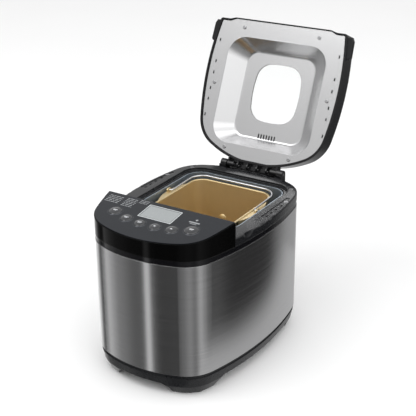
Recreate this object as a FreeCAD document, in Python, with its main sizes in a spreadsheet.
import FreeCAD, Part
import math
import os
from types import SimpleNamespace

import Sketcher
from FreeCAD import Placement, Rotation, Vector

# Bread machine with its lid open.  Millimetres; +X to the right of someone facing the control
# panel, +Y to the back, +Z up; the origin is on the worktop, below the middle of the machine.

SIZES = {
    # plan outline of the machine: two end arcs, two side arcs and four corner arcs
    "half_width": 120.0, "half_length": 168.0, "side_radius": 478.0, "end_radius": 185.0,
    "corner_radius": 56.0, "widest_y": 18.0,
    # levels of the outside
    "foot_bottom": 2.0, "arch_top": 18.0, "floor_top": 21.0, "skirt_step": 31.0,
    "steel_bottom": 37.1, "steel_top": 214.5, "ring_top": 223.0, "deck_top": 235.6,
    "casing_wall": 2.6, "steel_sheet": 0.6, "foot_half_x": 49.0, "foot_half_y": 104.0,
    # control panel: its back top edge, its fall towards the front, its layers
    "panel_back_y": -73.0, "panel_back_z": 261.6, "panel_slope": 7.84, "overlay_sheet": 1.2,
    "lcd_half_x": 26.5, "lcd_half_y": 15.0, "lcd_centre": -26.2, "pcb_depth": 13.0,
    "button_gap": 0.4,
    # lid, drawn closed: outline, underside level, height over it, front and back edges, hinge line
    "lid_half_width": 124.6, "lid_half_length": 164.9, "lid_plane": 238.9, "lid_lip": 1.8,
    "lid_height": 30.5, "lid_front_y": -72.4, "lid_shoulder": 2.9, "lid_back_y": 163.0, "lid_wall": 3.5,
    "hinge_y": 169.0, "hinge_z": 238.4, "lid_opening": 113.6, "barrel_radius": 5.0, "pin_radius": 2.5,
    "arm_half": 46.5, "knuckle_inner": 47.2, "knuckle_outer": 58.0, "knuckle_radius": 6.6,
    "recess_depth": 25.6, "liner_sheet": 0.8, "window_half_x": 43.7, "window_half_y": 49.0,
    "window_y": 41.0,
    # oven chamber
    "chamber_half": 86.5, "chamber_y": 42.0, "chamber_floor": 72.2, "chamber_top": 231.0,
    "chamber_sheet": 0.6, "opening_half": 89.3, "ledge_depth": 3.6, "element_half": 78.0,
    "element_radius": 3.3, "element_z": 92.0,
    # bread pan
    "pan_rim_half": 73.0, "pan_floor_half": 61.0, "pan_bottom": 99.0, "pan_top": 226.4,
    "pan_sheet": 1.2, "ear_reach": 11.0, "bail_radius": 1.5, "bail_half": 75.0,
    "bail_pivot_z": 228.4, "bail_rest": 2.0,
    # drive
    "chassis_z": 70.0, "chassis_sheet": 1.5, "shaft_radius": 4.0, "running_gap": 0.05,
    "motor_y": -104.0, "pulley_big": 48.0, "pulley_small": 6.2, "belt_z": 37.5,
    "belt_width": 8.0, "belt_thick": 2.2, "belt_gap": 0.3,
}

# six push-buttons: function, place on the panel (x, distance down from its back edge), radius
BUTTONS = [
    ("menu", -66.0, -45.4, 9.8), ("loaf_size", -39.0, -55.5, 8.6), ("crust", -13.0, -59.2, 8.2),
    ("time_down", 13.0, -59.2, 8.2), ("time_up", 39.0, -55.5, 8.8), ("start_stop", 66.0, -45.4, 10.4),
]
SIDES = (-1, 1)
AXES = {"x": Rotation(Vector(0, 1, 0), 90), "y": Rotation(Vector(1, 0, 0), -90), "z": Rotation()}
UP_FRONT = Rotation(Vector(1, 0, 0), 90)          # sketch x to +X, sketch y to +Z
UP_SIDE = Rotation(Vector(0, 1, 0), Vector(0, 0, 1), Vector(1, 0, 0))   # sketch x to +Y, y to +Z


class Size:
    """A driving dimension, or a sum or multiple of some, as a number and as an expression."""

    def __init__(self, value, text):
        self.value = float(value)
        self.text = text

    def __float__(self):
        return self.value

    def __add__(self, other):
        return Size(self.value + float(other), "(%s + %s)" % (self.text, words(other)))

    __radd__ = __add__

    def __sub__(self, other):
        return Size(self.value - float(other), "(%s - %s)" % (self.text, words(other)))

    def __rsub__(self, other):
        return Size(float(other) - self.value, "(%s - %s)" % (words(other), self.text))

    def __mul__(self, other):
        return Size(self.value * float(other), "(%s * %s)" % (self.text, words(other)))

    __rmul__ = __mul__

    def __neg__(self):
        return self * -1


def words(number):
    return number.text if isinstance(number, Size) else "%.6f" % number


doc = FreeCAD.newDocument("BreadMachine")
sheet = doc.addObject("Spreadsheet::Sheet", "Sizes")
for row, (alias, number) in enumerate(SIZES.items(), 1):
    sheet.set("A%d" % row, alias)
    sheet.set("B%d" % row, str(number))
    sheet.setAlias("B%d" % row, alias)
doc.recompute()
size = SimpleNamespace(**{name: Size(sheet.get(name), "Sizes." + name) for name in SIZES})
NODES = []


# ---------------------------------------------------------------- drawing helpers

def bind(obj, **sizes):
    for prop, number in sizes.items():
        setattr(obj, prop, float(number))
        if isinstance(number, Size):
            obj.setExpression(prop, number.text)
    return obj


def put(obj, at=(0, 0, 0), turn=Rotation()):
    obj.Placement = Placement(Vector(*[float(v) for v in at]), turn)
    for axis, number in zip("xyz", at):
        if isinstance(number, Size):
            obj.setExpression("Placement.Base." + axis, number.text)
    return obj


def cylinder(radius, height, at=(0, 0, 0), axis="z"):
    obj = bind(doc.addObject("Part::Cylinder", "Cylinder"), Radius=radius, Height=height)
    return put(obj, at, AXES[axis])


def box(low, high):
    obj = doc.addObject("Part::Box", "Box")
    bind(obj, Length=high[0] - low[0], Width=high[1] - low[1], Height=high[2] - low[2])
    return put(obj, low)


def fuse(*parts):
    obj = doc.addObject("Part::MultiFuse", "Fuse")
    obj.Shapes = list(parts)
    return obj


def cut(base, *tools):
    obj = doc.addObject("Part::Cut", "Cut")
    obj.Base = base
    obj.Tool = tools[0] if len(tools) == 1 else fuse(*tools)
    return obj


def common(first, second):
    obj = doc.addObject("Part::Common", "Common")
    obj.Base = first
    obj.Tool = second
    return obj


def group(*parts):
    obj = doc.addObject("Part::Compound", "Group")
    obj.Links = list(parts)
    return obj


def tube(outer, inner, height, at, axis="z"):
    return cut(cylinder(outer, height, at, axis), cylinder(inner, height, at, axis))


def node(label, obj):
    obj.Label = label
    NODES.append(obj)
    return obj


def line(a, b):
    return Part.LineSegment(Vector(*a, 0), Vector(*b, 0))


def arc(centre, radius, start, end):
    circle = Part.Circle(Vector(centre[0], centre[1], 0), Vector(0, 0, 1), radius)
    return Part.ArcOfCircle(circle, start, end)


def sketch(edges, at=(0, 0, 0), turn=Rotation()):
    """A closed outline of lines and arcs, each end tied to the next one's start."""
    obj = doc.addObject("Sketcher::SketchObject", "Sketch")
    obj.addGeometry(edges, False)
    count = len(edges)
    for first in range(count):
        second = (first + 1) % count
        ends = [(i, j) for i, p in ((1, edges[first].StartPoint), (2, edges[first].EndPoint))
                for j, q in ((1, edges[second].StartPoint), (2, edges[second].EndPoint))
                if p.distanceToPoint(q) < 1e-4]
        if count > 1 and ends:
            obj.addConstraint(Sketcher.Constraint("Coincident", first, ends[0][0], second, ends[0][1]))
    return put(obj, at, turn)


def extrude(edges, height, at=(0, 0, 0), turn=Rotation(), both=False):
    obj = doc.addObject("Part::Extrusion", "Extrusion")
    obj.Base = sketch(edges, at, turn)
    obj.DirMode = "Custom"
    obj.Dir = turn.multVec(Vector(0, 0, 1))
    obj.Solid = True
    obj.Symmetric = both
    return bind(obj, LengthFwd=height)


def loft(*sections):
    obj = doc.addObject("Part::Loft", "Loft")
    obj.Sections = list(sections)
    obj.Solid = True
    obj.Ruled = True
    return obj


def rounded(base, radius, wanted):
    """Rounds every edge of base for which wanted(edge) is true."""
    doc.recompute()
    obj = doc.addObject("Part::Fillet", "Fillet")
    obj.Base = base
    obj.Edges = [(i, float(radius), float(radius)) for i, edge in enumerate(base.Shape.Edges, 1)
                 if wanted(edge)]
    return obj


def at_height(*levels):
    """Picks the edges that lie flat at any of these heights."""
    def wanted(edge):
        box_ = edge.BoundBox
        return any(abs(box_.ZMin - float(z)) < 0.01 and abs(box_.ZMax - float(z)) < 0.01 for z in levels)
    return wanted


def turned(name, points, at=(0, 0, 0)):
    """A body of revolution about +Z from a closed polygon of (radius, height) points."""
    body = doc.addObject("PartDesign::Body", name + "_body")
    outline = body.newObject("Sketcher::SketchObject", name + "_outline")
    plane = [f for f in body.Origin.OriginFeatures if f.Role == "XZ_Plane"][0]
    outline.AttachmentSupport = [(plane, "")]
    outline.MapMode = "FlatFace"
    flat = [(float(r), float(z)) for r, z in points]
    outline.addGeometry([line(a, b) for a, b in zip(flat, flat[1:] + flat[:1])], False)
    for i, (r, z) in enumerate(points):
        outline.addConstraint(Sketcher.Constraint("Coincident", i, 2, (i + 1) % len(points), 1))
        for kind, number in (("DistanceX", r), ("DistanceY", z)):
            which = outline.addConstraint(Sketcher.Constraint(kind, -1, 1, i, 1, float(number)))
            if isinstance(number, Size):
                outline.setExpression("Constraints[%d]" % which, number.text)
    spin = body.newObject("PartDesign::Revolution", name + "_turned")
    spin.Profile = outline
    spin.ReferenceAxis = (outline, ["V_Axis"])
    spin.Angle = 360.0
    return put(body, at)


# ---------------------------------------------------------------- outlines

def corner_centre(side_x, side_y, end_y, side, end, way):
    """Centre of the right-hand corner arc at the back (way 1) or the front (way -1)."""
    across, along = -side_x, end_y - side_y
    apart = math.hypot(across, along)
    reach = (side * side - end * end + apart * apart) / (2 * apart)
    away = -way * math.sqrt(side * side - reach * reach)
    return (side_x + (reach * across + away * along) / apart,
            side_y + (reach * along - away * across) / apart)


def oval(half_x, half_y, side, end, corner, inset=0.0, centre_y=0.0, widest=0.0, front=None):
    """Edges of a closed outline of side arcs, end arcs and corner arcs that meet smoothly.

    The side arcs are widest apart at y = widest.  front = (y, shoulder, corner radius) ends the
    outline at the front in a straight line that steps back by shoulder before its round corners.
    """
    half_x, half_y, side, end, corner = [float(v) for v in (half_x, half_y, side, end, corner)]
    pi = math.pi
    wide = centre_y + float(widest)
    side_x = half_x - side
    back_y = centre_y + half_y - end
    front_y = centre_y - half_y + end
    bx, by = corner_centre(side_x, wide, back_y, side - corner, end - corner, 1)
    low = math.atan2(by - wide, bx - side_x)
    high = math.atan2(by - back_y, bx)
    edges = [
        arc((bx, by), corner - inset, low, high),
        arc((0, back_y), end - inset, high, pi - high),
        arc((-bx, by), corner - inset, pi - high, pi - low),
    ]
    if front is None:
        fx, fy = corner_centre(side_x, wide, front_y, side - corner, end - corner, -1)
        start = math.atan2(fy - wide, fx - side_x)
        stop = math.atan2(fy - front_y, fx)
        return edges + [
            arc((-side_x, wide), side - inset, pi - low, pi - start),
            arc((-fx, fy), corner - inset, pi - start, pi - stop),
            arc((0, front_y), end - inset, pi - stop, 2 * pi + stop),
            arc((fx, fy), corner - inset, stop, start),
            arc((side_x, wide), side - inset, start, low),
        ]
    y, shoulder, r = [float(v) for v in front]
    up = y + shoulder + r
    fx = side_x + math.sqrt((side - inset - r) ** 2 - (up - wide) ** 2)
    turn = math.atan2(up - wide, fx - side_x)
    step = [(-fx, y + shoulder), (-98.0, y + shoulder), (-88.0, y), (88.0, y), (98.0, y + shoulder),
            (fx, y + shoulder)]
    return edges + [
        arc((-side_x, wide), side - inset, pi - low, pi - turn),
        arc((-fx, up), r, pi - turn, 1.5 * pi),
        *[line(p, q) for p, q in zip(step, step[1:])],
        arc((fx, up), r, -0.5 * pi, turn),
        arc((side_x, wide), side - inset, turn, low),
    ]


def outline(inset=0.0):
    return oval(size.half_width, size.half_length, size.side_radius, size.end_radius,
                size.corner_radius, inset, widest=size.widest_y)


def lid_outline(inset=0.0, front_gap=0.0, shoulder_gap=0.0, corner=4.0):
    return oval(size.lid_half_width, size.lid_half_length, size.side_radius, size.end_radius,
                size.corner_radius, inset, widest=size.widest_y + 2.0,
                front=(size.lid_front_y + front_gap, size.lid_shoulder + shoulder_gap, corner))


def window_outline(inset=0.0):
    return oval(size.window_half_x, size.window_half_y, 170.0, 150.0, 26.0, inset,
                size.window_y.value)


def rounded_square(half_x, half_y, radius, centre=(0.0, 0.0)):
    hx, hy, r = float(half_x), float(half_y), float(radius)
    ox, oy = centre
    quarter = math.pi / 2
    places = ((1, 1), (-1, 1), (-1, -1), (1, -1))
    edges = []
    for turn, (sx, sy) in enumerate(places):
        middle = (ox + sx * (hx - r), oy + sy * (hy - r))
        edges.append(arc(middle, r, turn * quarter, (turn + 1) * quarter))
        nx, ny = places[(turn + 1) % 4]
        start = edges[-1].EndPoint
        following = (ox + nx * (hx - r), oy + ny * (hy - r))
        angle = (turn + 1) * quarter
        end = (following[0] + r * math.cos(angle), following[1] + r * math.sin(angle))
        edges.append(line((start.x, start.y), end))
    return edges


def polygon(points):
    flat = [(float(u), float(v)) for u, v in points]
    return [line(p, q) for p, q in zip(flat, flat[1:] + flat[:1])]


def ring(outer, inner, bottom, top):
    return cut(extrude(outer, top - bottom, (0, 0, bottom)), extrude(inner, top - bottom, (0, 0, bottom)))


# ---------------------------------------------------------------- base and outer casing

POSTS = [(sx * x, y) for sx in SIDES for x, y in ((100.0, 0.0), (82.0, -118.0), (60.0, 142.0))]
FOOT_PADS = [(sx * 74.0, sy * 122.0) for sx in SIDES for sy in SIDES]


def arch(half, depth, turn):
    """The gap between two feet: a flat-topped arch with curved shoulders."""
    top = float(size.arch_top)
    flare = 13.0
    low = -10.0
    shoulder = half - flare
    profile = [
        line((-half - 3, low), (half + 3, low)),
        line((half + 3, low), (half, 1.0)),
        Part.Arc(Vector(half, 1.0, 0), Vector(half - 4.6, top - 6.2, 0), Vector(shoulder, top, 0)),
        line((shoulder, top), (-shoulder, top)),
        Part.Arc(Vector(-shoulder, top, 0), Vector(-half + 4.6, top - 6.2, 0), Vector(-half, 1.0, 0)),
        line((-half, 1.0), (-half - 3, low)),
    ]
    return extrude(profile, depth, (0, 0, 0), turn, both=True)


def make_base_tray():
    sections = [sketch(outline(inset), (0, 0, z)) for inset, z in
                ((11.0, size.foot_bottom), (4.6, size.foot_bottom + 13.0), (1.2, size.skirt_step))]
    skirt = loft(*sections)
    neck = extrude(outline(2.4), size.steel_bottom - size.skirt_step, (0, 0, size.skirt_step))
    hollow = extrude(outline(7.5), 40.0, (0, 0, size.floor_top))
    posts = [cylinder(6.0, size.chassis_z - size.floor_top + 1, (x, y, size.floor_top - 1))
             for x, y in POSTS]
    pilots = [cylinder(1.7, 14.0, (x, y, size.chassis_z - 12)) for x, y in POSTS]
    sockets = [cylinder(11.0, 3.0, (x, y, size.foot_bottom - 1)) for x, y in FOOT_PADS]
    vents = [box((x - 1.5, 70.0, 10.0), (x + 1.5, 120.0, 30.0)) for x in range(-30, 31, 10)]
    arches = [arch(float(size.foot_half_x), 400.0, UP_FRONT), arch(float(size.foot_half_y), 400.0, UP_SIDE)]
    shell = cut(fuse(skirt, neck), hollow)
    node("base_tray", cut(fuse(shell, *posts), *pilots, *sockets, *vents, *arches))


def make_rubber_feet():
    feet = []
    for x, y in FOOT_PADS:
        pad = cylinder(10.9, size.foot_bottom + 2.0, (x, y, 0))
        feet.append(rounded(pad, 0.8, at_height(0)))
    node("rubber_feet", group(*feet))


def make_chassis_screws():
    screws = []
    for x, y in POSTS:
        head = cylinder(4.0, 2.2, (x, y, size.chassis_z + size.chassis_sheet))
        screws.append(fuse(head, cylinder(1.7, 13.0, (x, y, size.chassis_z + size.chassis_sheet - 13.0))))
    node("chassis_screws", group(*screws))


GROMMET_X = 50.0


def grommet_placement():
    """Where the mains lead passes the curved back wall, and the way that the wall faces there."""
    lean = math.asin(GROMMET_X / float(size.end_radius))
    back = float(size.half_length - size.end_radius) + float(size.end_radius) * math.cos(lean)
    return Vector(GROMMET_X, back, 58.0), Rotation(Vector(0, 0, 1), -math.degrees(lean))


def make_steel_wrap():
    where, turn = grommet_placement()
    hole = cylinder(8.0, 30.0)
    hole.Placement = Placement(where + turn.multVec(Vector(0, -15, 0)), turn.multiply(AXES["y"]))
    vents = [box((x - 1.2, 100.0, 90.0), (x + 1.2, 200.0, 130.0)) for x in range(-28, 29, 8)]
    wall = ring(outline(0.0), outline(size.steel_sheet.value), size.steel_bottom, size.steel_top)
    flange = ring(outline(0.0), outline(2.0), size.steel_top - size.steel_sheet, size.steel_top)
    node("steel_wrap", cut(fuse(wall, flange), hole, *vents))


def make_cord_grommet():
    flange = cylinder(10.5, 2.0)
    sleeve = cylinder(7.9, 12.0)
    lead_hole = cylinder(3.6, 20.0)
    where, turn = grommet_placement()
    for piece, start in ((flange, 0.3), (sleeve, -9.8), (lead_hole, -12.0)):
        piece.Placement = Placement(where + turn.multVec(Vector(0, start, 0)), turn.multiply(AXES["y"]))
    node("cord_grommet", cut(fuse(flange, sleeve), lead_hole))


def make_trim_ring():
    band = ring(outline(1.0), outline(3.5), size.steel_top, size.ring_top)
    rib = ring(outline(2.1), outline(3.5), size.steel_top - 6.0, size.steel_top)
    node("top_trim_ring", fuse(band, rib))


# ---------------------------------------------------------------- top frame: deck and panel housing

def panel_point(forward, down=0.0):
    """(y, z) of a point a distance towards the front along the panel's top and a depth below it."""
    slope = math.radians(float(size.panel_slope))
    return (float(size.panel_back_y) - forward * math.cos(slope) - down * -math.sin(slope),
            float(size.panel_back_z) - forward * math.sin(slope) - down * math.cos(slope))


def on_panel(obj):
    """Moves a piece drawn with z = 0 as the panel's top and y = 0 as its back edge to the panel."""
    obj.Placement = Placement(Vector(0, size.panel_back_y.value, size.panel_back_z.value),
                              Rotation(Vector(1, 0, 0), size.panel_slope.value))
    return obj


def wedge(back_y, down, bottom, width):
    """The space under the sloping panel top, a depth below it, ahead of back_y."""
    slope = math.tan(math.radians(float(size.panel_slope)))
    top_y, top_z = panel_point(0.0, down)
    profile = polygon([(-175.0, bottom), (back_y, bottom),
                       (back_y, top_z + (float(back_y) - top_y) * slope),
                       (-175.0, top_z + (-175.0 - top_y) * slope)])
    return extrude(profile, width, (0, 0, 0), UP_SIDE, both=True)


DECK_SLOTS = [20.0, 33.0, 48.0, 64.5]
DECK_SCREWS = [(110.0, 81.0), (93.0, 129.5)]
PCB_POSTS = [(sx * 68.0, y) for sx in SIDES for y in (-12.0, -64.0)]


def panel_screen_hole(half_x, half_y, low, high):
    middle = size.lcd_centre
    return box((-half_x, middle - half_y, low), (half_x, middle + half_y, high))


def make_top_frame():
    ring_top, deck, wall = size.ring_top, size.deck_top, size.casing_wall
    full = extrude(outline(0.0), 45.0, (0, 0, ring_top))
    inner = extrude(outline(wall.value), 45.0, (0, 0, ring_top - 1))
    rear = box((-130.0, size.panel_back_y, ring_top), (130.0, 175.0, deck))
    front = wedge(size.panel_back_y, size.overlay_sheet.value, ring_top, 260.0)
    solid = rounded(common(full, fuse(rear, front)), 2.2, on_deck_edge)
    hollow_rear = box((-130.0, size.panel_back_y - 30, ring_top - 1), (130.0, 175.0, deck - 3.0))
    hollow_front = wedge(size.panel_back_y - wall, size.overlay_sheet.value + 2.5, ring_top - 1, 260.0)
    hollow = common(inner, fuse(hollow_rear, hollow_front))
    opening = extrude(rounded_square(size.opening_half, size.opening_half, 26.0, (0.0, 42.0)), 20.0,
                      (0, 0, deck - 10))
    ledge = size.opening_half + 6.2
    pocket = extrude(rounded_square(ledge, ledge, 32.0, (0.0, 42.0)), 8.0, (0, 0, deck - size.ledge_depth))
    collar = extrude(rounded_square(ledge + 2.4, ledge + 2.4, 34.4, (0.0, 42.0)), 7.0, (0, 0, deck - 8.0))
    slots = [box((sx * 110.0 - 1.2, y - 2.6, deck - 4), (sx * 110.0 + 1.2, y + 2.6, deck + 1))
             for sx in SIDES for y in DECK_SLOTS]
    troughs = [common(box((sx * 112.0 - 8.0, 12.0, deck - 1.0), (sx * 112.0 + 8.0, 94.0, deck + 1)),
                      extrude(outline(4.5), 20.0, (0, 0, deck - 8))) for sx in SIDES]
    screw_holes = [cylinder(2.0, 16.0, (sx * x, y, deck - 12)) for sx in SIDES for x, y in DECK_SCREWS]
    counterbores = [cylinder(3.9, 4.0, (sx * x, y, deck - 2.2)) for sx in SIDES for x, y in DECK_SCREWS]
    notch = box((-size.knuckle_inner, size.hinge_y - 14.0, size.hinge_z - 6.2),
                (size.knuckle_inner, size.hinge_y + 20, deck + 1))
    grips = [grip_scoop(side) for side in SIDES]
    posts = on_panel(group(*[cylinder(3.5, size.pcb_depth - 3.0, (x, y, -size.pcb_depth))
                             for x, y in PCB_POSTS]))
    pilots = on_panel(group(*[cylinder(1.2, 8.0, (x, y, -size.pcb_depth - 0.1)) for x, y in PCB_POSTS]))
    wells = on_panel(group(*[cylinder(r + size.button_gap, 6.0, (x, y, -5.0))
                             for _, x, y, r in BUTTONS]))
    screen = on_panel(group(panel_screen_hole(size.lcd_half_x, size.lcd_half_y, -5.0, 1.0)))
    bosses = [cylinder(4.2, 9.0, (sx * x, y, deck - 11)) for sx in SIDES for x, y in DECK_SCREWS]
    scoop_backs = [common(grip_scoop(side, wall), solid) for side in SIDES]
    shell = fuse(cut(solid, hollow), posts, collar, *bosses, *scoop_backs)
    node("top_frame", cut(shell, opening, pocket, *slots, *troughs, *screw_holes, *counterbores, notch,
                          *grips, pilots, wells, screen))


def on_deck_edge(edge):
    """The deck's outer top edge, behind the panel."""
    box_ = edge.BoundBox
    flat = abs(box_.ZMin - size.deck_top.value) < 0.01 and abs(box_.ZMax - size.deck_top.value) < 0.01
    straight = abs(box_.YMax - box_.YMin) < 0.01
    return flat and not straight


def grip_scoop(side, grow=0.0):
    """The ball that hollows a finger scoop in the casing's edge, below the lid's grip."""
    ball = doc.addObject("Part::Sphere", "Sphere")
    bind(ball, Radius=26.0 + grow)
    return put(ball, (side * (size.half_width + 17.5), -48.0, size.deck_top + 6.0))


def make_deck_screws():
    screws = []
    for side in SIDES:
        for x, y in DECK_SCREWS:
            head = cylinder(3.7, 1.6, (side * x, y, size.deck_top - 2.2))
            slot = box((side * x - 2.6, y - 0.4, size.deck_top - 1.2),
                       (side * x + 2.6, y + 0.4, size.deck_top + 1))
            shank = cylinder(1.9, 8.0, (side * x, y, size.deck_top - 10.0))
            screws.append(fuse(cut(head, slot), shank))
    node("deck_screws", group(*screws))


# ---------------------------------------------------------------- control panel

def make_control_overlay():
    sheet_ = size.overlay_sheet
    face = extrude(outline(1.4), 60.0, (0, 0, 220.0))
    slab = cut(wedge(size.panel_back_y - 0.6, 0.0, 225.0, 260.0),
               wedge(size.panel_back_y, sheet_.value, 220.0, 300.0))
    wells = on_panel(group(*[cylinder(r + size.button_gap, 6.0, (x, y, -3.0)) for _, x, y, r in BUTTONS]))
    screen = on_panel(group(panel_screen_hole(size.lcd_half_x, size.lcd_half_y, -3.0, 3.0)))
    node("control_overlay", cut(common(face, slab), wells, screen))


def make_lcd():
    lens = panel_screen_hole(size.lcd_half_x - 0.1, size.lcd_half_y - 0.1, -size.overlay_sheet, -0.1)
    node("lcd_lens", on_panel(group(lens)))
    glass = panel_screen_hole(size.lcd_half_x - 0.6, size.lcd_half_y - 0.6, -5.0,
                              -size.overlay_sheet - 0.1)
    back = panel_screen_hole(size.lcd_half_x + 4, size.lcd_half_y + 3, -size.pcb_depth, -4.0)
    node("lcd_module", on_panel(group(fuse(glass, back))))


def make_buttons():
    """Each cap has a retaining flange below the panel and a stem over its switch."""
    for name, x, y, radius in BUTTONS:
        cap = turned(name + "_cap", [
            (0.0, -8.3), (2.0, -8.3), (2.0, -5.6), (radius + 1.0, -5.6), (radius + 1.0, -4.0),
            (radius, -4.0), (radius, 0.5), (radius - 0.9, 1.3), (radius * 0.55, 1.9), (0.0, 2.1)])
        put(cap, (x, y, 0))
        node(name + "_button", on_panel(group(cap)))


def make_control_pcb():
    top = -size.pcb_depth
    board = box((-76.0, -69.0, top - 1.6), (76.0, -8.0, top))
    holes = [cylinder(1.3, 6.0, (x, y, top - 4)) for x, y in PCB_POSTS]
    bodies = [box((x - 3, y - 3, top), (x + 3, y + 3, top + 2.2)) for _, x, y, _ in BUTTONS]
    plungers = [cylinder(1.6, 1.3, (x, y, top + 2.2)) for _, x, y, _ in BUTTONS]
    switches = [fuse(body, plunger) for body, plunger in zip(bodies, plungers)]
    node("control_pcb", on_panel(group(fuse(cut(board, *holes), *switches))))
    screws = [fuse(cylinder(2.6, 1.8, (x, y, top - 3.4)), cylinder(1.2, 8.0, (x, y, top - 1.7)))
              for x, y in PCB_POSTS]
    node("panel_screws", on_panel(group(*screws)))


# ---------------------------------------------------------------- oven chamber

def make_oven_chamber():
    half, sheet_, floor = size.chamber_half, size.chamber_sheet, size.chamber_floor
    middle = (0.0, size.chamber_y.value)
    outer = extrude(rounded_square(half + sheet_, half + sheet_, 25.0, middle),
                    size.chamber_top - floor, (0, 0, floor))
    inner = extrude(rounded_square(half, half, 24.4, middle), 200.0, (0, 0, floor + sheet_))
    bead = cut(extrude(rounded_square(half + 1.9, half + 1.9, 26.5, middle), 1.6,
                       (0, 0, size.chamber_top - 1.6)),
               extrude(rounded_square(half, half, 24.4, middle), 3.0, (0, 0, size.chamber_top - 2)))
    shaft_hole = cylinder(11.2, 10.0, (0, size.chamber_y, floor - 5))
    seat_holes = [cylinder(2.2, 10.0, (x, y, floor - 5)) for x, y in SEAT_SCREWS]
    leads = [cylinder(5.1, 20.0, (x, size.chamber_y - half - 10, size.element_z), "y") for x in ELEMENT_ENDS]
    probe = cylinder(3.1, 20.0, (half - 10, 90.0, 150.0), "x")
    node("oven_chamber", cut(fuse(cut(outer, inner), bead), shaft_hole, probe, *seat_holes, *leads))


ELEMENT_ENDS = (-22.0, 22.0)
SEAT_SCREWS = [(sx * 35.0, 42.0 + sy * 35.0) for sx in SIDES for sy in SIDES]


def make_heating_element():
    """A sheathed rod bent round the foot of the chamber, with both ends through its front wall."""
    half, r = size.element_half.value, 30.0
    mid = size.chamber_y.value
    front, back = mid - half, mid + half
    reach = mid - size.chamber_half.value - 16.5
    bend = 7.5
    x_in = ELEMENT_ENDS[1]
    q = math.pi / 2
    path = [
        line((x_in, reach), (x_in, front - bend)),
        arc((x_in + bend, front - bend), bend, q, 2 * q),
        line((x_in + bend, front), (half - r, front)),
        arc((half - r, front + r), r, -q, 0),
        line((half, front + r), (half, back - r)),
        arc((half - r, back - r), r, 0, q),
        line((half - r, back), (-half + r, back)),
        arc((-half + r, back - r), r, q, 2 * q),
        line((-half, back - r), (-half, front + r)),
        arc((-half + r, front + r), r, 2 * q, 3 * q),
        line((-half + r, front), (-x_in - bend, front)),
        arc((-x_in - bend, front - bend), bend, 0, q),
        line((-x_in, front - bend), (-x_in, reach)),
    ]
    edges = [piece.toShape() for piece in path]
    for edge in edges:
        edge.translate(Vector(0, 0, size.element_z.value))
    wire = Part.Wire(edges)
    start = Part.Circle(Vector(x_in, reach, size.element_z.value), Vector(0, 1, 0), size.element_radius.value)
    rod = wire.makePipeShell([Part.Wire([start.toShape()])], True, False)
    obj = doc.addObject("Part::Feature", "ElementRod")
    obj.Shape = Part.Solid(rod) if rod.ShapeType == "Shell" else rod
    node("heating_element", obj)


def make_element_fittings():
    mid, half, z = size.chamber_y, size.element_half, size.element_z
    gap = size.element_radius + 0.02
    clips = []
    for side in SIDES:
        strap = box((side * half - 5.2, mid - 4.0, size.chamber_floor + size.chamber_sheet),
                    (side * half + 5.2, mid + 4.0, z + 5.0))
        clips.append(cut(strap, cylinder(gap, 20.0, (side * half, mid - 10.0, z), "y")))
    back = box((-4.0, mid + half - 5.2, size.chamber_floor + size.chamber_sheet),
               (4.0, mid + half + 5.2, z + 5.0))
    clips.append(cut(back, cylinder(gap, 20.0, (-10.0, mid + half, z), "x")))
    node("element_clips", group(*clips))
    wall = mid - size.chamber_half
    bushes = [tube(5.0, gap, 9.0, (x, wall - 8.0, z), "y") for x in ELEMENT_ENDS]
    collars = [tube(8.0, gap, 2.0, (x, wall - size.chamber_sheet - 2.6, z), "y") for x in ELEMENT_ENDS]
    node("element_bushes", group(*[fuse(b, c) for b, c in zip(bushes, collars)]))


def make_temperature_sensor():
    half = size.chamber_half
    probe = cylinder(3.0, 18.0, (half - 6.0, 90.0, 150.0), "x")
    tip = doc.addObject("Part::Sphere", "Sphere")
    put(bind(tip, Radius=3.0), (half - 6.0, 90.0, 150.0))
    collar = cylinder(6.0, 3.0, (half + size.chamber_sheet + 0.05, 90.0, 150.0), "x")
    node("temperature_sensor", fuse(probe, tip, collar))


def make_thermal_fuse():
    y = size.chamber_y - size.chamber_half - size.chamber_sheet
    body = cylinder(2.4, 22.0, (-61.0, y - 4.0, 130.0), "x")
    strap = box((-54.0, y - 7.0, 124.0), (-46.0, y - 0.1, 136.0))
    node("thermal_fuse", fuse(body, strap))


# ---------------------------------------------------------------- chassis and drive

def make_chassis_plate():
    plate = extrude(outline(6.0), size.chassis_sheet, (0, 0, size.chassis_z))
    holes = [cylinder(1.8, 6.0, (x, y, size.chassis_z - 2)) for x, y in POSTS]
    holes.append(cylinder(11.2, 6.0, (0, size.chamber_y, size.chassis_z - 2)))
    holes.append(cylinder(16.0, 6.0, (0, size.motor_y, size.chassis_z - 2)))
    holes += [cylinder(2.2, 6.0, (x, y, size.chassis_z - 2)) for x, y in SEAT_SCREWS]
    windows = [box((x - 3, -60.0, size.chassis_z - 2), (x + 3, -56.0, size.chassis_z + 4)) for x in (-70, 70)]
    node("chassis_plate", cut(plate, *holes, *windows))


def make_bearing_housing():
    z = size.chassis_z
    bore = 6.0
    body = turned("bearing_housing", [
        (bore, 46.0), (11.0, 46.0), (11.0, z - 5.0), (55.0, z - 5.0), (55.0, z - 0.05),
        (11.1, z - 0.05), (11.1, 76.0), (bore, 76.0)], (0, size.chamber_y, 0))
    holes = [cylinder(1.6, 12.0, (x, y, size.chassis_z - 8)) for x, y in SEAT_SCREWS]
    node("bearing_housing", cut(body, *holes))


def make_drive_bushes():
    inner = size.shaft_radius + size.running_gap
    bushes = [tube(6.0, inner, 8.0, (0, size.chamber_y, z)) for z in (46.0, 68.0)]
    node("drive_bushes", group(*bushes))


def make_drive_shaft():
    r = size.shaft_radius
    node("drive_shaft", turned("drive_shaft", [
        (0.0, 28.6), (3.4, 28.6), (r, 29.2), (r, 83.4), (3.4, 84.0), (0.0, 84.0)], (0, size.chamber_y, 0)))


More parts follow.
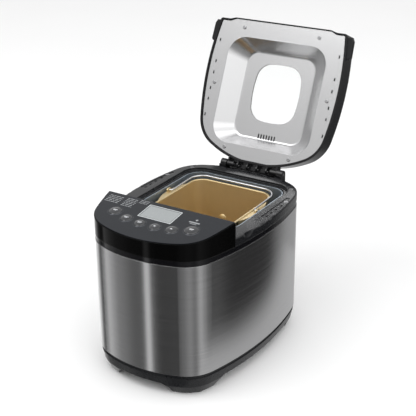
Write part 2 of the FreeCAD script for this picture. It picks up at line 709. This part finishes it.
def make_pulleys():
    z, half, seat = size.belt_z, size.belt_width * 0.5 + 0.6, size.pulley_big
    rim = turned("large_pulley", [
        (size.shaft_radius, z - 8.0), (10.0, z - 8.0), (10.0, z - 2.0), (seat - 5.0, z - 2.0),
        (seat - 5.0, z - half - 1.4), (seat + 3.0, z - half - 1.4), (seat + 3.0, z - half), (seat, z - half),
        (seat, z + half), (seat + 3.0, z + half), (seat + 3.0, z + half + 1.4), (seat - 5.0, z + half + 1.4),
        (seat - 5.0, z + 2.0), (10.0, z + 2.0), (10.0, z + 7.9), (size.shaft_radius, z + 7.9)])
    holes = []
    for k in range(6):
        turn = math.radians(60 * k)
        holes.append(cylinder(9.0, 10.0, (26.5 * math.cos(turn), 26.5 * math.sin(turn), z - 5)))
    node("large_pulley", put(cut(rim, *holes), (0, size.chamber_y, 0)))
    seat = size.pulley_small
    node("motor_pulley", turned("motor_pulley", [
        (3.0, z - half - 1.6), (9.2, z - half - 1.6), (9.2, z - half), (seat, z - half),
        (seat, z + half), (9.2, z + half), (9.2, z + half + 1.6), (3.0, z + half + 1.6)],
        (0, size.motor_y, 0)))


def belt_loop(offset):
    """The line round both pulleys, offset outwards from their belt seats."""
    big = size.pulley_big.value + offset
    small = size.pulley_small.value + offset
    far, near = size.chamber_y.value, size.motor_y.value
    lean = math.asin((big - small) / (far - near))
    right_big = (big * math.cos(lean), far - big * math.sin(lean))
    right_small = (small * math.cos(lean), near - small * math.sin(lean))
    return [
        arc((0, far), big, -lean, math.pi + lean),
        line((-right_big[0], right_big[1]), (-right_small[0], right_small[1])),
        arc((0, near), small, math.pi + lean, 2 * math.pi - lean),
        line(right_small, right_big),
    ]


def make_drive_belt():
    gap, low = size.belt_gap.value, size.belt_z - size.belt_width * 0.5
    outer = extrude(belt_loop(gap + size.belt_thick.value), size.belt_width, (0, 0, low))
    inner = extrude(belt_loop(gap), size.belt_width, (0, 0, low))
    node("drive_belt", cut(outer, inner))


def make_drive_coupling():
    """The dog on top of the drive shaft: a hub with two upright wings."""
    hub = tube(9.0, size.shaft_radius, 7.0, (0, size.chamber_y, 77.0))
    wings = [box((min(side * 5.0, side * 12.0), size.chamber_y - 3.0, 80.0),
                 (max(side * 5.0, side * 12.0), size.chamber_y + 3.0, 91.0)) for side in SIDES]
    shaft_room = cylinder(size.shaft_radius, 20.0, (0, size.chamber_y, 77.0))
    node("drive_coupling", cut(fuse(hub, *wings), shaft_room))


def make_pan_seat():
    seat = turned("pan_seat", [
        (14.0, 72.85), (55.0, 72.85), (55.0, 75.0), (41.5, 75.3), (41.5, 91.0), (38.0, 91.0),
        (38.0, 75.3), (14.0, 75.3)], (0, size.chamber_y, 0))
    lugs = []
    for k in range(4):
        lug = box((34.6, -4.0, 88.0), (39.0, 4.0, 91.0))
        turn = Rotation(Vector(0, 0, 1), 90 * k + 45)
        lug.Placement = Placement(turn.multVec(Vector(34.6, -4.0, 88.0))
                                  + Vector(0, size.chamber_y.value, 0), turn)
        lugs.append(lug)
    holes = [cylinder(2.2, 12.0, (x, y, 70.0)) for x, y in SEAT_SCREWS]
    node("pan_seat", cut(seat, *holes))


def make_seat_screws():
    screws = [fuse(cylinder(3.6, 2.2, (x, y, 75.35)), cylinder(1.6, 12.0, (x, y, 63.5)))
              for x, y in SEAT_SCREWS]
    node("seat_screws", group(*screws))


# ---------------------------------------------------------------- motor and electronics

def make_motor():
    y = size.motor_y
    shaft_gap = 3.0 + size.running_gap
    low = turned("motor_cap_low", [
        (shaft_gap, 76.0), (33.0, 76.0), (33.0, 86.0), (30.0, 86.0), (30.0, 79.0), (7.0, 79.0),
        (7.0, 82.0), (shaft_gap, 82.0)], (0, y, 0))
    high = turned("motor_cap_high", [
        (shaft_gap, 120.0), (7.0, 120.0), (7.0, 123.0), (30.0, 123.0), (30.0, 116.0), (33.0, 116.0),
        (33.0, 126.0), (shaft_gap, 126.0)], (0, y, 0))
    node("motor_end_caps", group(low, high))
    core = turned("motor_core", [(22.0, 86.1), (32.0, 86.1), (32.0, 115.9), (22.0, 115.9)], (0, y, 0))
    windings = [turned("motor_winding", [(23.0, z), (29.5, z), (29.5, z + 5.6), (23.0, z + 5.6)], (0, y, 0))
                for z in (80.3, 116.1)]
    node("motor_stator", group(core, *windings))
    node("motor_rotor", turned("motor_rotor", [
        (0.0, 30.8), (3.0, 30.8), (3.0, 84.0), (21.5, 84.0), (21.5, 118.0), (3.0, 118.0),
        (3.0, 127.0), (0.0, 127.0)], (0, y, 0)))


def make_motor_bracket():
    y, low = size.motor_y, size.chassis_z + size.chassis_sheet
    plate = box((-40.0, y - 34.0, low + 0.05), (40.0, y + 34.0, low + 2.0))
    pads = [cylinder(5.0, 4.4, (sx * 24.0, y + sy * 20.0, low + 0.05)) for sx in SIDES for sy in SIDES]
    pads_holes = [cylinder(2.0, 8.0, (sx * 24.0, y + sy * 20.0, low - 1)) for sx in SIDES for sy in SIDES]
    node("motor_bracket", cut(fuse(plate, *pads), cylinder(14.0, 10.0, (0, y, low - 1)), *pads_holes))


def make_electronics():
    top = size.chassis_z + size.chassis_sheet
    capacitor = cylinder(12.0, 42.0, (46.0, -96.0, top + 12.1), "x")
    node("motor_capacitor", rounded(capacitor, 1.5, lambda edge: True))
    posts = [fuse(cylinder(3.0, 12.0, (x, y, top + 0.05)), cylinder(1.4, 14.5, (x, y, top + 0.05)))
             for x in (-92.0, -48.0) for y in (-112.0, -66.0)]
    node("pcb_standoffs", group(*posts))
    board = box((-96.0, -116.0, top + 12.1), (-44.0, -62.0, top + 13.7))
    holes = [cylinder(1.5, 6.0, (x, y, top + 10)) for x in (-92.0, -48.0) for y in (-112.0, -66.0)]
    core = box((-84.0, -106.0, top + 13.75), (-58.0, -84.0, top + 36.0))
    coil = box((-80.0, -109.0, top + 17.0), (-62.0, -81.0, top + 33.0))
    node("power_transformer", fuse(core, coil))
    relays = [box((x, -78.0, top + 13.0), (x + 13.0, -69.0, top + 29.0)) for x in (-84.0, -68.0)]
    node("power_pcb", fuse(cut(board, *holes), *relays))
    block = box((58.0, -76.0, top + 0.05), (88.0, -62.0, top + 16.0))
    wells = [cylinder(2.6, 8.0, (x, -69.0, top + 10.0)) for x in (65.0, 73.0, 81.0)]
    node("terminal_block", cut(block, *wells))


# ---------------------------------------------------------------- bread pan

def pan_block(half_low, half_high, radius, low, high):
    middle = (0.0, size.chamber_y.value)
    return loft(sketch(rounded_square(half_low, half_low, radius - 4, middle), (0, 0, low)),
                sketch(rounded_square(half_high, half_high, radius, middle), (0, 0, high)))


def make_bread_pan():
    rim, floor, sheet_ = size.pan_rim_half, size.pan_floor_half, size.pan_sheet
    mid = size.chamber_y
    radius = 22.0
    outer = pan_block(floor, rim - 2.6, radius, size.pan_bottom, size.pan_top)
    inner = pan_block(floor - sheet_, rim - 2.6 - sheet_, radius - 1.2, size.pan_bottom + sheet_,
                      size.pan_top + 0.01)
    outer = rounded(outer, 7.0, at_height(size.pan_bottom))
    inner = rounded(inner, 6.0, at_height(size.pan_bottom + sheet_))
    centre = (0.0, mid.value)
    bead = extrude(rounded_square(rim, rim, radius + 2.6, centre), 3.0, (0, 0, size.pan_top - 2.2))
    bead = cut(bead, extrude(rounded_square(rim - 3.6, rim - 3.6, radius - 1.0, centre), 6.0,
                             (0, 0, size.pan_top - 4)))
    bead = rounded(bead, 1.2, at_height(size.pan_top - 2.2, size.pan_top + 0.8))
    ribs = [pan_rib(-20.0, 1), pan_rib(20.0, -1)]
    hole = cylinder(9.0, 20.0, (0, mid, size.pan_bottom - 10))
    node("bread_pan", cut(fuse(cut(outer, inner), bead, *ribs), hole))


def pan_rib(x, side):
    """A pressed rib that stands in from the pan's wall and helps to knead."""
    low, high = size.pan_bottom.value + 24.0, size.pan_top.value - 60.0
    radius, sunk = 12.0, 8.4
    def wall(z):
        share = (z - size.pan_bottom.value) / (size.pan_top.value - size.pan_bottom.value)
        half = size.pan_floor_half.value + share * (size.pan_rim_half.value - 2.6 - size.pan_floor_half.value)
        return size.chamber_y.value + side * (half + sunk)
    foot = Vector(x, wall(low), low)
    way = Vector(x, wall(high), high) - foot
    rib = cylinder(radius, way.Length)
    rib.Placement = Placement(foot, Rotation(Vector(0, 0, 1), way))
    caps = []
    for share in (0.0, 1.0):
        ball = doc.addObject("Part::Sphere", "Sphere")
        bind(ball, Radius=radius)
        ball.Placement = Placement(foot + way * share, Rotation())
        caps.append(ball)
    outside = pan_block(size.pan_floor_half - 0.6, size.pan_rim_half - 3.2, 22.0, size.pan_bottom,
                        size.pan_top)
    return common(fuse(rib, *caps), outside)


def make_pan_ears():
    """Lens-shaped side flanges level with the rim, each with an upright lug that carries the handle."""
    mid, top, half = size.chamber_y, size.pan_top - 0.6, 53.0
    crown = size.pan_rim_half + (size.ear_reach - 0.7)
    flange = extrude(ear_outline(half, crown), 1.8, (0, 0, top - 1.8))
    apron = cut(extrude(ear_outline(half, crown), 8.0, (0, 0, top - 8.0)),
                extrude(ear_outline(half - 5.0, crown - 1.6), 10.0, (0, 0, top - 9.0)))
    lug = rounded(box((crown - 3.0, mid - 5.0, top - 2.0), (crown - 1.2, mid + 5.0, top + 5.2)), 3.0,
                  lambda edge: edge.BoundBox.ZMin > float(top) + 4 and edge.BoundBox.YLength < 0.01)
    hole = cylinder(size.bail_radius + 0.06, 20.0, (crown - 13.0, mid, size.bail_pivot_z), "x")
    wall = size.pan_rim_half + 0.02
    pan_wall = extrude(rounded_square(wall, wall, 24.62, (0.0, mid.value)), 16.0, (0, 0, top - 12.0))
    right = cut(fuse(flange, apron, lug), hole, pan_wall)
    left = doc.addObject("Part::Mirroring", "Mirror")
    left.Source = right
    left.Normal = Vector(1, 0, 0)
    node("pan_ears", group(right, left))


def ear_outline(half, crown):
    mid, root = size.chamber_y.value, size.pan_rim_half.value - 6.0
    ends = (Vector(root, mid - half, 0), Vector(crown, mid, 0), Vector(root, mid + half, 0))
    return [line((root, mid + half), (root, mid - half)), Part.Arc(*ends)]


def make_pan_handle():
    """A steel wire bail: two arms, rounded corners, and ends that turn out into the ears."""
    half, r, corner = size.bail_half.value, size.bail_radius.value, 24.0
    reach = half
    stub = 8.4
    bend = 3.6
    q = math.pi / 2
    path = [
        line((half + stub, 0.0), (half + bend, 0.0)),
        arc((half + bend, bend), bend, 2 * q, 3 * q),
        line((half, bend), (half, reach - corner)),
        arc((half - corner, reach - corner), corner, 0, q),
        line((half - corner, reach), (-half + corner, reach)),
        arc((-half + corner, reach - corner), corner, q, 2 * q),
        line((-half, reach - corner), (-half, bend)),
        arc((-half - bend, bend), bend, 3 * q, 4 * q),
        line((-half - bend, 0.0), (-half - stub, 0.0)),
    ]
    wire = Part.Wire([piece.toShape() for piece in path])
    start = Part.Circle(Vector(half + stub, 0, 0), Vector(1, 0, 0), r)
    rod = wire.makePipeShell([Part.Wire([start.toShape()])], True, False)
    obj = doc.addObject("Part::Feature", "Bail")
    obj.Shape = Part.Solid(rod) if rod.ShapeType == "Shell" else rod
    obj.Placement = Placement(Vector(0, size.chamber_y.value, size.bail_pivot_z.value),
                              Rotation(Vector(1, 0, 0), size.bail_rest.value))
    node("pan_handle", obj)


def make_pan_drive():
    at = (0, size.chamber_y, 0)
    shaft, gap = size.shaft_radius, size.running_gap
    node("pan_base_ring", turned("pan_base_ring", [
        (13.4, 96.0), (33.0, 96.0), (33.0, 76.0), (35.6, 76.0), (35.6, 96.0), (44.0, 96.0),
        (44.0, 98.9), (13.4, 98.9)], at))
    node("pan_bush", turned("pan_bush", [
        (shaft + gap, 97.0), (13.3, 97.0), (13.3, 98.9), (8.9, 98.9), (8.9, 101.2),
        (shaft + gap, 101.2)], at))
    node("pan_shaft", turned("pan_shaft", [
        (0.0, 91.6), (shaft, 91.6), (shaft, 124.0), (3.0, 125.0), (0.0, 125.0)], at))
    bar = box((-3.0, size.chamber_y - 12.0, 91.5), (3.0, size.chamber_y + 12.0, 95.4))
    hub = cylinder(7.5, 3.9, (0, size.chamber_y, 91.5))
    wings = [box((-3.0, size.chamber_y + min(s * 5.0, s * 12.0), 84.7),
                 (3.0, size.chamber_y + max(s * 5.0, s * 12.0), 92.0)) for s in SIDES]
    shaft_room = cylinder(shaft, 20.0, (0, size.chamber_y, 84.0))
    node("pan_coupling", cut(fuse(bar, hub, *wings), shaft_room))


def make_kneading_paddle():
    hub = turned("paddle_hub", [
        (0.0, 127.0), (size.shaft_radius, 125.4), (size.shaft_radius, 101.8), (10.0, 101.8), (8.6, 122.0),
        (6.6, 131.0), (3.0, 133.4), (0.0, 133.8)], (0, size.chamber_y, 0))
    blade = [
        line((0.0, 103.0), (36.0, 103.0)),
        Part.Arc(Vector(36.0, 103.0, 0), Vector(41.0, 106.5, 0), Vector(40.5, 113.0, 0)),
        line((40.5, 113.0), (31.0, 141.0)),
        Part.Arc(Vector(31.0, 141.0, 0), Vector(24.5, 148.0, 0), Vector(16.0, 143.0, 0)),
        line((16.0, 143.0), (0.0, 124.0)),
        line((0.0, 124.0), (0.0, 103.0)),
    ]
    fin = extrude(blade, 5.0, (0, size.chamber_y, 0), UP_FRONT, both=True)
    bore = cylinder(size.shaft_radius, 23.6, (0, size.chamber_y, 101.8))
    node("kneading_paddle", cut(fuse(hub, fin), bore))


# ---------------------------------------------------------------- lid, drawn closed and then opened

LID_SCREWS = [(sx * x, y) for sx in SIDES for x, y in ((69.0, -58.0), (105.2, 40.1), (60.7, 143.6))]


def behind_lid(inset=0.0):
    """The space that the lid's straight back edge leaves free for the hinge."""
    return box((-90.0, size.lid_back_y - inset, 230.0), (90.0, 200.0, 280.0))


def make_lid_shell():
    low, wall = size.lid_plane - size.lid_lip, size.lid_wall
    height = size.lid_height + size.lid_lip
    top = low + height
    block = cut(rounded(extrude(lid_outline(), height, (0, 0, low)), 7.5, at_height(top)), behind_lid())
    inner = cut(rounded(extrude(lid_outline(wall.value, 1.7, 1.0, 2.0), height - 2.8, (0, 0, low)), 1.5,
                        at_height(top - 2.8)), behind_lid(wall))
    grips = [lid_grip(side) for side in SIDES]
    bosses = [common(cylinder(4.2, 30.0, (x, y, size.lid_plane + 1.0)), block) for x, y in LID_SCREWS]
    pilots = [cylinder(1.5, 14.0, (x, y, size.lid_plane - 1)) for x, y in LID_SCREWS]
    recess = liner_recess(3.0, size.recess_depth.value + 1.3)
    window = extrude(window_outline(0.0), 40.0, (0, 0, size.lid_plane))
    seat = extrude(window_outline(-4.0), 40.0, (0, 0, top - 1.8))
    trimmed = [cut(boss, recess) for boss in bosses]
    node("lid_shell", cut(fuse(cut(fuse(block, *grips), inner), *trimmed), window, seat, *pilots))


def lid_grip(side):
    """A finger lip that stands out from the lid's side near its front corner."""
    low = size.lid_plane + 0.8
    profile = polygon([(108.0, -66.0), (124.4, -66.0), (127.4, -60.0), (128.6, -33.0), (126.4, -30.0),
                       (108.0, -30.0)])
    lip = rounded(extrude(profile, 9.0, (0, 0, low)), 1.2, at_height(low, low + 9.0))
    if side > 0:
        return lip
    mirrored = doc.addObject("Part::Mirroring", "Mirror")
    mirrored.Source = lip
    mirrored.Normal = Vector(1, 0, 0)
    return mirrored


def liner_recess(grow, depth):
    """The sloping-sided hollow of the lid's underside, larger by grow and this deep."""
    sections = []
    for z, hx, low, high, r in (
            (-0.01, 90.7, -42.7, 135.6, 31.0), (depth, 64.0, -25.0, 120.5, 21.0)):
        middle = (0.0, (low + high) / 2)
        half_y = (high - low) / 2
        sections.append(sketch(rounded_square(hx + grow, half_y + grow, r + grow, middle),
                               (0, 0, size.lid_plane + z)))
    return loft(*sections)


def make_lid_liner():
    plane, sheet_, depth = size.lid_plane, size.liner_sheet, size.recess_depth.value
    plate = cut(extrude(lid_outline(4.4, 2.0, 1.6, 1.5), sheet_, (0, 0, plane)), behind_lid(4.1))
    outside = rounded(liner_recess(0.8, depth + 0.8), 6.0, at_height(plane + depth + 0.8))
    inside = rounded(liner_recess(0.0, depth), 5.2, at_height(plane + depth))
    window = extrude(window_outline(0.0), 40.0, (0, 0, plane))
    vents = [box((5.0 * k - 1.2, 111.0, plane + 20), (5.0 * k + 1.2, 119.0, plane + 30))
             for k in range(-3, 4)]
    slots = [box((sx * 110.5 - 1.1, y - 2.6, plane - 1), (sx * 110.5 + 1.1, y + 2.6, plane + 2))
             for sx in SIDES for y in (-32.1, 4.4, 23.7, 50.6, 69.2, 96.0)]
    holes = [cylinder(1.6, 4.0, (x, y, plane - 1)) for x, y in LID_SCREWS]
    node("lid_liner", cut(fuse(plate, outside), inside, window, *vents, *slots, *holes))


def make_window():
    plane, depth = size.lid_plane, size.recess_depth + size.liner_sheet
    top = plane + size.lid_height
    glass = extrude(window_outline(-3.7), 1.7, (0, 0, top - 1.8))
    node("window_glass", rounded(glass, 0.4, at_height(top - 0.1)))
    low = plane + depth + 0.05
    gasket = cut(extrude(window_outline(-4.0), 1.1, (0, 0, low)),
                 extrude(window_outline(-0.4), 3.0, (0, 0, low - 1)))
    node("window_gasket", gasket)


def make_lid_screws():
    screws = []
    for x, y in LID_SCREWS:
        head = rounded(cylinder(3.1, 1.5, (x, y, size.lid_plane - 1.55)), 0.9,
                       at_height(size.lid_plane - 1.55))
        slot = fuse(box((x - 1.6, y - 0.3, size.lid_plane - 2), (x + 1.6, y + 0.3, size.lid_plane - 0.9)),
                    box((x - 0.3, y - 1.6, size.lid_plane - 2), (x + 0.3, y + 1.6, size.lid_plane - 0.9)))
        screws.append(fuse(cut(head, slot), cylinder(1.5, 11.0, (x, y, size.lid_plane - 0.3))))
    node("lid_screws", group(*screws))


def make_hinge():
    """Two fixed knuckles on a shelf behind the casing, the lid's ribbed arm, and the pins between."""
    y, z = size.hinge_y, size.hinge_z
    inner, outer, round_ = size.knuckle_inner, size.knuckle_outer, size.knuckle_radius
    width = outer - inner
    body_wall = extrude(outline(0.0), 60.0, (0, 0, 200.0))
    below_deck = box((-100.0, 100.0, 200.0), (100.0, 200.0, size.deck_top + 0.05))
    blocks = [cut(box((-outer, y - 12.0, 224.0), (outer, y + round_, z - 7.6)), body_wall)]
    for x in (inner, -outer):
        tower = fuse(cylinder(round_, width, (x, y, z), "x"),
                     box((x, y - round_, z - 4.0), (x + width, y + round_, z)))
        blocks.append(cut(tower, below_deck))
        blocks.append(cut(box((x, y - 12.0, 224.0), (x + width, y + round_, z)), body_wall))
    bore = cylinder(size.pin_radius + size.running_gap, 140.0, (-70.0, y, z), "x")
    node("hinge_bracket", cut(fuse(*blocks), bore))
    half = size.arm_half
    front = size.lid_back_y - 7.0
    lid_space = cut(extrude(lid_outline(), 60.0, (0, 0, 220.0)), behind_lid())
    web = box((-half, front, z + 6.0), (half, y + 1.0, z + 9.0))
    spine = fuse(box((-half, y - 1.5, z + 3.0), (half, y + 1.0, z + 9.0)),
                 box((-half, y + 0.5, z + 3.0), (half, y + 4.3, z + 6.8)))
    pitch = (half - 1.2) * 0.4
    ribs = [fuse(box((-half + k * pitch, front, z - 3.5), (-half + k * pitch + 2.4, y, z + 7.0)),
                 cylinder(size.barrel_radius, 2.4, (-half + k * pitch, y, z), "x")) for k in range(6)]
    sleeves = [cylinder(size.barrel_radius, 12.0, (x, y, z), "x") for x in (-half, half - 12.0)]
    pin_bore = cylinder(size.pin_radius, 140.0, (-70.0, y, z), "x")
    node("lid_hinge_arm", cut(fuse(web, spine, *ribs, *sleeves), lid_space, pin_bore))
    length = 24.0
    pins = [cylinder(size.pin_radius, length, (x, y, z), "x") for x in (-outer, outer - length)]
    node("hinge_pins", group(*pins))


def open_lid():
    """Turns every lid piece about the hinge from closed to fully open."""
    hinge = Vector(0, size.hinge_y.value, size.hinge_z.value)
    swing = Placement(Vector(), Rotation(Vector(1, 0, 0), -size.lid_opening.value), hinge)
    doc.recompute()
    for obj in NODES:
        if obj.Label in LID_NODES:
            obj.Placement = swing.multiply(obj.Placement)


LID_NODES = ("lid_shell", "lid_liner", "window_glass", "window_gasket", "lid_screws", "lid_hinge_arm",
             "hinge_pins")


# ---------------------------------------------------------------- build, check and write

for make in (make_base_tray, make_rubber_feet, make_chassis_screws, make_steel_wrap, make_cord_grommet,
             make_trim_ring, make_top_frame, make_deck_screws, make_control_overlay, make_lcd,
             make_buttons, make_control_pcb, make_oven_chamber, make_heating_element,
             make_element_fittings, make_temperature_sensor, make_thermal_fuse, make_chassis_plate,
             make_bearing_housing, make_drive_bushes, make_drive_shaft, make_pulleys, make_drive_belt,
             make_drive_coupling, make_pan_seat, make_seat_screws, make_motor,
             make_motor_bracket, make_electronics, make_bread_pan, make_pan_ears, make_pan_handle,
             make_pan_drive, make_kneading_paddle, make_lid_shell, make_lid_liner, make_window,
             make_lid_screws, make_hinge, open_lid):
    make()
doc.recompute()

for obj in doc.Objects:
    if "Invalid" in obj.State or "Error" in obj.State:
        raise RuntimeError("%s (%s) is %s" % (obj.Name, obj.Label, obj.State))
for obj in NODES:
    if obj.Shape.isNull() or not obj.Shape.isValid() or not obj.Shape.Solids:
        raise RuntimeError("%s has no valid shape" % obj.Label)

os.makedirs("parts", exist_ok=True)
for obj in NODES:
    obj.Shape.exportStep("parts/%s.step" % obj.Label)
    print("%-22s %2d solids %10.0f mm3" % (obj.Label, len(obj.Shape.Solids), obj.Shape.Volume))
print(len(NODES), "nodes")
